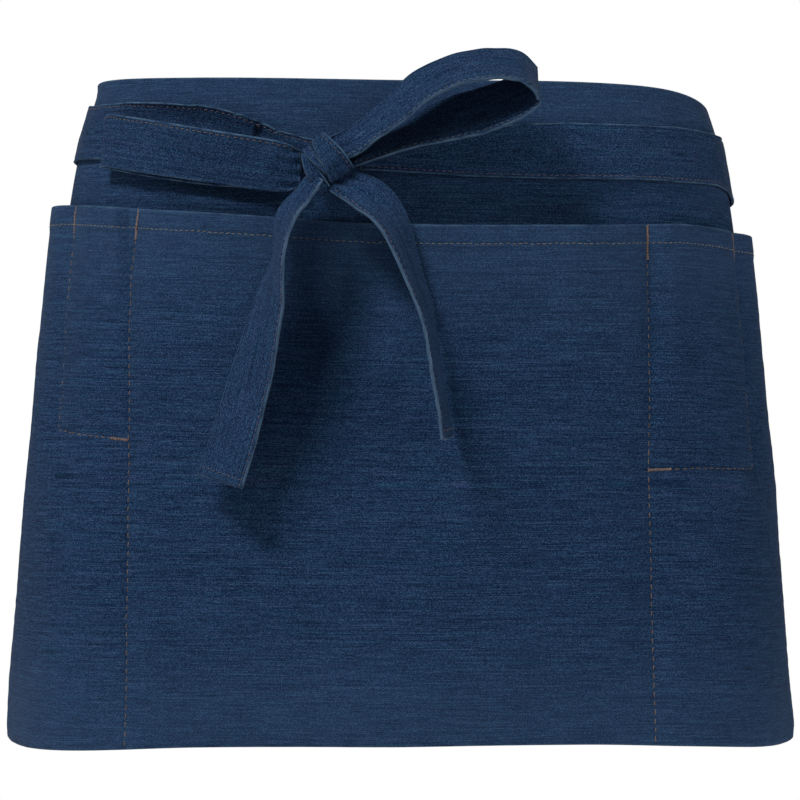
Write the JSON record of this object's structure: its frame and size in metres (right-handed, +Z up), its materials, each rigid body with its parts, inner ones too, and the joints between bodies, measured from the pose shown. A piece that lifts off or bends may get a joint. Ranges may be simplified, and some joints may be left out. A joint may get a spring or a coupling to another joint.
{
  "type": "waist apron",
  "caption": "Short denim waist apron in its worn shape, open at the back, with a pocket layer across the front and long ties crossed behind and tied in a bow.",
  "frame": {"origin": "middle of the wearer's waist at the height of the ties, where the worn apron is held", "axes": "+X to the viewer's right across the front, +Y towards the wearer's back, +Z up"},
  "size_m": [0.394, 0.2755, 0.3329],
  "materials": {
    "denim": "matt cotton denim, indigo twill with pale slubs, brown and tan stitching",
    "denim_tie": "matt cotton denim strap, folded double, edges worn paler"
  },
  "bodies": {
    "root": {"apron_panel": "denim", "pocket_panel": "denim", "tie_band_left": "denim_tie", "tie_band_right": "denim_tie", "tie_knot": "denim_tie", "bow_loop": "denim_tie", "bow_loop_flat": "denim_tie", "tie_tail_left": "denim_tie", "tie_tail_right": "denim_tie"}
  },
  "joints": []
}
